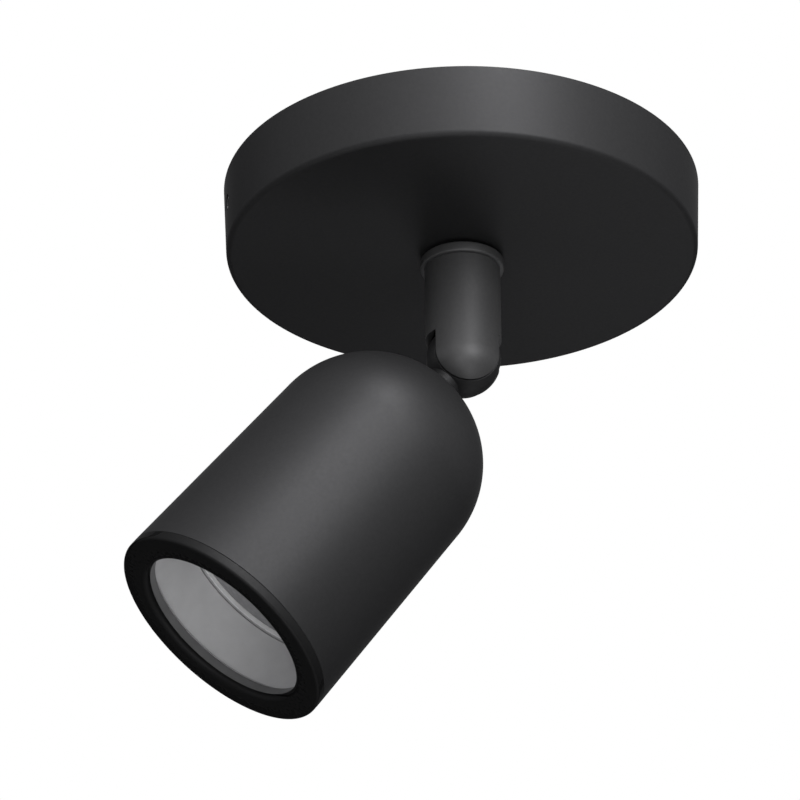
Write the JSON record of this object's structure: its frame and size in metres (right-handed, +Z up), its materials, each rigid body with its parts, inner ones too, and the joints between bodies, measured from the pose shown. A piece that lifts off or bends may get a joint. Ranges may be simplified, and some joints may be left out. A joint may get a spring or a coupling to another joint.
{
  "type": "surface mounted ceiling spotlight",
  "caption": "Round ceiling canopy with a short swivelling forked stem and a bullet head on a knuckle that tilts, holding a recessed twist lock reflector lamp behind a front ring.",
  "frame": {"origin": "centre of the canopy's ceiling face, on the swivel axis", "axes": "+Z up into the ceiling along the swivel axis; the head tilts in the XZ plane and points down towards -X"},
  "size_m": [0.1434, 0.12, 0.1447],
  "materials": {
    "black_steel": "satin black powder coat on steel",
    "black_cast": "satin black powder coat on aluminium",
    "zinc_steel": "zinc plated",
    "black_screws": "blackened steel",
    "screw_steel": "zinc plated",
    "brass": "plain turned brass",
    "white_nylon": "moulded nylon",
    "black_washer": "fibre",
    "ceramic": "glazed ceramic",
    "satin_grey": "satin anodised",
    "lamp_white": "moulded plastic",
    "lamp_lens": "frosted"
  },
  "bodies": {
    "canopy": {"canopy_cover": "black_steel", "mounting_bracket": "zinc_steel", "canopy_side_screws": "black_screws", "terminal_block": "white_nylon", "terminal_screws": "screw_steel", "terminal_fixing_screw": "screw_steel", "earth_washer": "zinc_steel", "earth_screw": "screw_steel", "stop_stud": "zinc_steel"},
    "stem": {"swivel_washer": "black_washer", "stem_collar": "black_cast", "stop_washer": "zinc_steel", "stem_nut": "zinc_steel", "stem_nipple": "brass", "fork_stem": "black_cast", "pivot_screw": "black_screws", "friction_washers": "black_washer"},
    "head": {"knuckle": "black_cast", "head_shell": "black_cast", "lampholder_cradle": "zinc_steel", "knuckle_washer": "zinc_steel", "knuckle_nut": "zinc_steel", "lampholder_body": "ceramic", "lampholder_plate": "ceramic", "lampholder_contacts": "brass", "lampholder_screws": "screw_steel"},
    "lamp": {"lamp_lens": "lamp_lens", "lamp_bezel": "lamp_white", "lamp_housing": "lamp_white", "lamp_base": "lamp_white", "lamp_pins": "brass"},
    "glare_tube": {"glare_sleeve": "satin_grey"},
    "trim": {"front_ring": "black_cast"}
  },
  "joints": [
    {"name": "stem_swivel", "type": "hinge", "parent": "canopy", "child": "stem", "pos_m": [0, 0, -0.019], "axis": [0, 0, 1], "range_deg": [-160, 160]},
    {"name": "head_tilt", "type": "hinge", "parent": "stem", "child": "head", "pos_m": [0, 0, -0.0485], "axis": [0, 1, 0], "range_deg": [-127.5, 52.5]},
    {"name": "lamp_twist", "type": "hinge", "parent": "head", "child": "lamp", "pos_m": [-0.02106, 0, -0.07595], "axis": [-0.6088, 0, -0.7934], "range_deg": [0, 40]},
    {"name": "ring_travel", "type": "slide", "parent": "head", "child": "glare_tube", "axis": [-0.6088, 0, -0.7934], "range_m": [0, 0.00301]},
    {"name": "ring_turn", "type": "hinge", "parent": "glare_tube", "child": "trim", "pos_m": [-0.06033, 0, -0.12712], "axis": [-0.6088, 0, -0.7934], "range_deg": [0, 1440]}
  ],
  "couplings": [
    {"joint": "ring_travel", "follows": "ring_turn", "m_per_rad": 0.00011937}
  ]
}
